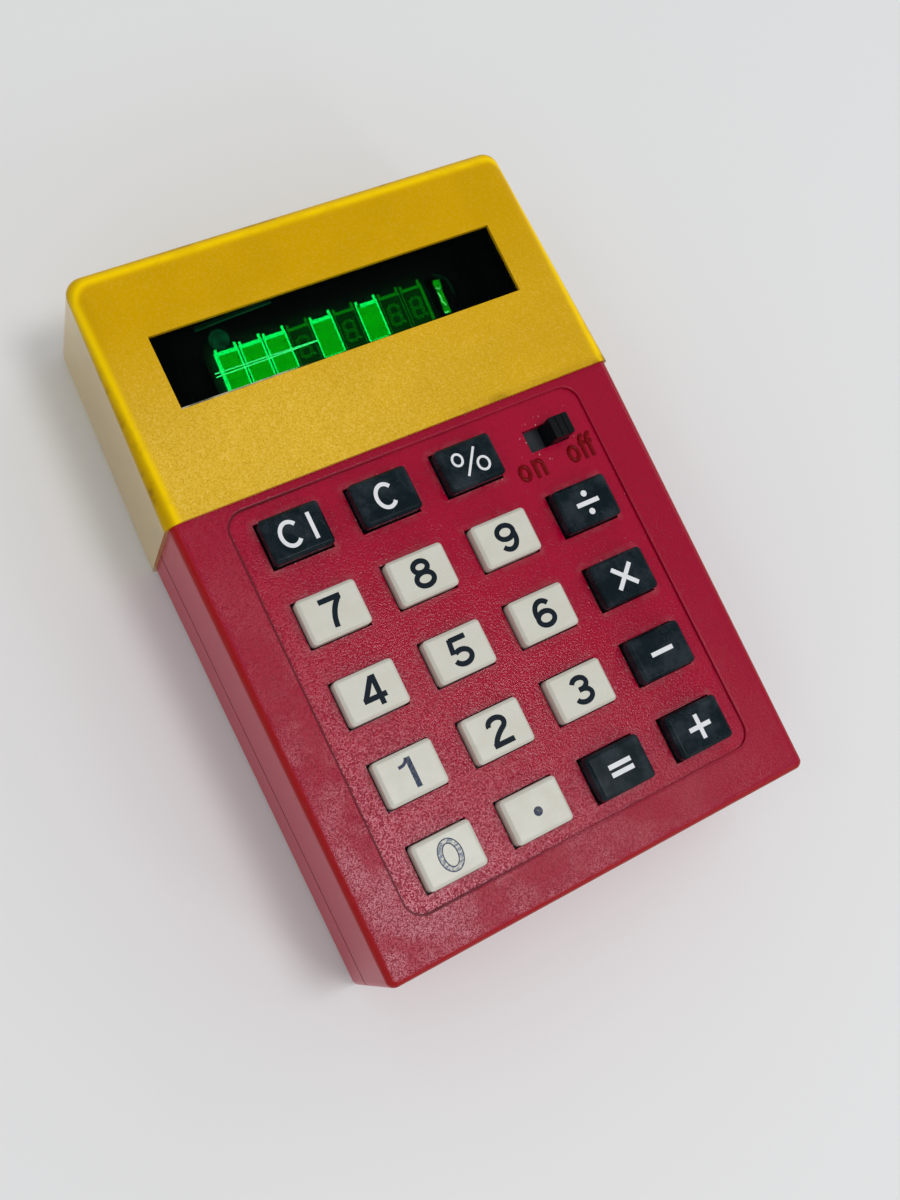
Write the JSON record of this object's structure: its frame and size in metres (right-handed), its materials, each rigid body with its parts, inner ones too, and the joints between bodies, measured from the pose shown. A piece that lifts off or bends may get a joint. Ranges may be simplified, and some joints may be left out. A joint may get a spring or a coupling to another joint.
{
  "type": "pocket calculator",
  "caption": "Pocket calculator with a red case, a gold sleeve cap over its green fluorescent display, moulded push keys, a slide power switch and a sliding battery door.",
  "frame": {"origin": "on the table, under the middle of the case's outline, with the calculator lying on its back", "axes": "+X across the face to the right, +Y up the face to the display end, +Z out of the face"},
  "size_m": [0.0788, 0.114, 0.0286],
  "materials": {
    "red_plastic": "deep crimson moulded plastic with a fine grain",
    "gold_plastic": "mustard gold moulded plastic with a fine grain",
    "filter": "dark green smoked filter, polished",
    "contact_film": "clear contact film over snap domes",
    "board": "tan paper laminate board",
    "black_plastic": "black moulded plastic",
    "tube_glass": "clear tube glass",
    "steel": "thin plated steel",
    "epoxy": "black moulded epoxy and ferrite",
    "copper_wire": "enamelled copper wire",
    "blue_sleeve": "blue shrunk sleeve",
    "resistor_lacquer": "tan lacquer",
    "diode_glass": "amber glass",
    "cell_jacket": "printed metal jacket, left plain",
    "cream_plastic": "cream moulded plastic, lightly worn",
    "dark_key_plastic": "blue-black moulded plastic, lightly scratched"
  },
  "bodies": {
    "case": {"front_shell": "red_plastic", "rear_shell": "red_plastic", "display_cap": "gold_plastic", "display_window": "filter", "dome_sheet": "contact_film", "main_board": "board", "switch_body": "black_plastic", "tube_cover": "tube_glass", "tube_base": "tube_glass", "tube_grids": "steel", "filament_supports": "steel", "filament_wires": "steel", "getter": "steel", "tube_leads": "steel", "tube_holder": "black_plastic", "calculator_chip": "epoxy", "converter_core": "epoxy", "converter_winding": "copper_wire", "capacitors": "blue_sleeve", "resistors": "resistor_lacquer", "diodes": "diode_glass", "transistors": "epoxy", "battery_contacts": "steel", "case_screws": "steel", "cell_lower": "cell_jacket", "cell_upper": "cell_jacket"},
    "battery_door": {"battery_door": "red_plastic"},
    "switch_knob": {"switch_knob": "black_plastic"},
    "key_0": {"key_0": "cream_plastic"},
    "key_point": {"key_point": "cream_plastic"},
    "key_equals": {"key_equals": "dark_key_plastic"},
    "key_plus": {"key_plus": "dark_key_plastic"},
    "key_1": {"key_1": "cream_plastic"},
    "key_2": {"key_2": "cream_plastic"},
    "key_3": {"key_3": "cream_plastic"},
    "key_minus": {"key_minus": "dark_key_plastic"},
    "key_4": {"key_4": "cream_plastic"},
    "key_5": {"key_5": "cream_plastic"},
    "key_6": {"key_6": "cream_plastic"},
    "key_times": {"key_times": "dark_key_plastic"},
    "key_7": {"key_7": "cream_plastic"},
    "key_8": {"key_8": "cream_plastic"},
    "key_9": {"key_9": "cream_plastic"},
    "key_divide": {"key_divide": "dark_key_plastic"},
    "key_clear_indicate": {"key_clear_indicate": "dark_key_plastic"},
    "key_clear": {"key_clear": "dark_key_plastic"},
    "key_percent": {"key_percent": "dark_key_plastic"}
  },
  "joints": [
    {"name": "battery_door_slide", "type": "slide", "parent": "case", "child": "battery_door", "axis": [0, -1, 0], "range_m": [0, 0.038]},
    {"name": "power_switch", "type": "slide", "parent": "case", "child": "switch_knob", "axis": [-1, 0, 0], "range_m": [0, 0.0034]},
    {"name": "key_0_press", "type": "slide", "parent": "case", "child": "key_0", "axis": [0, 0, -1], "range_m": [0, 0.0009], "stiffness_N_per_m": 500, "springref_m": -0.0004, "deforming": ["dome_sheet"]},
    {"name": "key_point_press", "type": "slide", "parent": "case", "child": "key_point", "axis": [0, 0, -1], "range_m": [0, 0.0009], "stiffness_N_per_m": 500, "springref_m": -0.0004, "deforming": ["dome_sheet"]},
    {"name": "key_equals_press", "type": "slide", "parent": "case", "child": "key_equals", "axis": [0, 0, -1], "range_m": [0, 0.0009], "stiffness_N_per_m": 500, "springref_m": -0.0004, "deforming": ["dome_sheet"]},
    {"name": "key_plus_press", "type": "slide", "parent": "case", "child": "key_plus", "axis": [0, 0, -1], "range_m": [0, 0.0009], "stiffness_N_per_m": 500, "springref_m": -0.0004, "deforming": ["dome_sheet"]},
    {"name": "key_1_press", "type": "slide", "parent": "case", "child": "key_1", "axis": [0, 0, -1], "range_m": [0, 0.0009], "stiffness_N_per_m": 500, "springref_m": -0.0004, "deforming": ["dome_sheet"]},
    {"name": "key_2_press", "type": "slide", "parent": "case", "child": "key_2", "axis": [0, 0, -1], "range_m": [0, 0.0009], "stiffness_N_per_m": 500, "springref_m": -0.0004, "deforming": ["dome_sheet"]},
    {"name": "key_3_press", "type": "slide", "parent": "case", "child": "key_3", "axis": [0, 0, -1], "range_m": [0, 0.0009], "stiffness_N_per_m": 500, "springref_m": -0.0004, "deforming": ["dome_sheet"]},
    {"name": "key_minus_press", "type": "slide", "parent": "case", "child": "key_minus", "axis": [0, 0, -1], "range_m": [0, 0.0009], "stiffness_N_per_m": 500, "springref_m": -0.0004, "deforming": ["dome_sheet"]},
    {"name": "key_4_press", "type": "slide", "parent": "case", "child": "key_4", "axis": [0, 0, -1], "range_m": [0, 0.0009], "stiffness_N_per_m": 500, "springref_m": -0.0004, "deforming": ["dome_sheet"]},
    {"name": "key_5_press", "type": "slide", "parent": "case", "child": "key_5", "axis": [0, 0, -1], "range_m": [0, 0.0009], "stiffness_N_per_m": 500, "springref_m": -0.0004, "deforming": ["dome_sheet"]},
    {"name": "key_6_press", "type": "slide", "parent": "case", "child": "key_6", "axis": [0, 0, -1], "range_m": [0, 0.0009], "stiffness_N_per_m": 500, "springref_m": -0.0004, "deforming": ["dome_sheet"]},
    {"name": "key_times_press", "type": "slide", "parent": "case", "child": "key_times", "axis": [0, 0, -1], "range_m": [0, 0.0009], "stiffness_N_per_m": 500, "springref_m": -0.0004, "deforming": ["dome_sheet"]},
    {"name": "key_7_press", "type": "slide", "parent": "case", "child": "key_7", "axis": [0, 0, -1], "range_m": [0, 0.0009], "stiffness_N_per_m": 500, "springref_m": -0.0004, "deforming": ["dome_sheet"]},
    {"name": "key_8_press", "type": "slide", "parent": "case", "child": "key_8", "axis": [0, 0, -1], "range_m": [0, 0.0009], "stiffness_N_per_m": 500, "springref_m": -0.0004, "deforming": ["dome_sheet"]},
    {"name": "key_9_press", "type": "slide", "parent": "case", "child": "key_9", "axis": [0, 0, -1], "range_m": [0, 0.0009], "stiffness_N_per_m": 500, "springref_m": -0.0004, "deforming": ["dome_sheet"]},
    {"name": "key_divide_press", "type": "slide", "parent": "case", "child": "key_divide", "axis": [0, 0, -1], "range_m": [0, 0.0009], "stiffness_N_per_m": 500, "springref_m": -0.0004, "deforming": ["dome_sheet"]},
    {"name": "key_clear_indicate_press", "type": "slide", "parent": "case", "child": "key_clear_indicate", "axis": [0, 0, -1], "range_m": [0, 0.0009], "stiffness_N_per_m": 500, "springref_m": -0.0004, "deforming": ["dome_sheet"]},
    {"name": "key_clear_press", "type": "slide", "parent": "case", "child": "key_clear", "axis": [0, 0, -1], "range_m": [0, 0.0009], "stiffness_N_per_m": 500, "springref_m": -0.0004, "deforming": ["dome_sheet"]},
    {"name": "key_percent_press", "type": "slide", "parent": "case", "child": "key_percent", "axis": [0, 0, -1], "range_m": [0, 0.0009], "stiffness_N_per_m": 500, "springref_m": -0.0004, "deforming": ["dome_sheet"]}
  ]
}
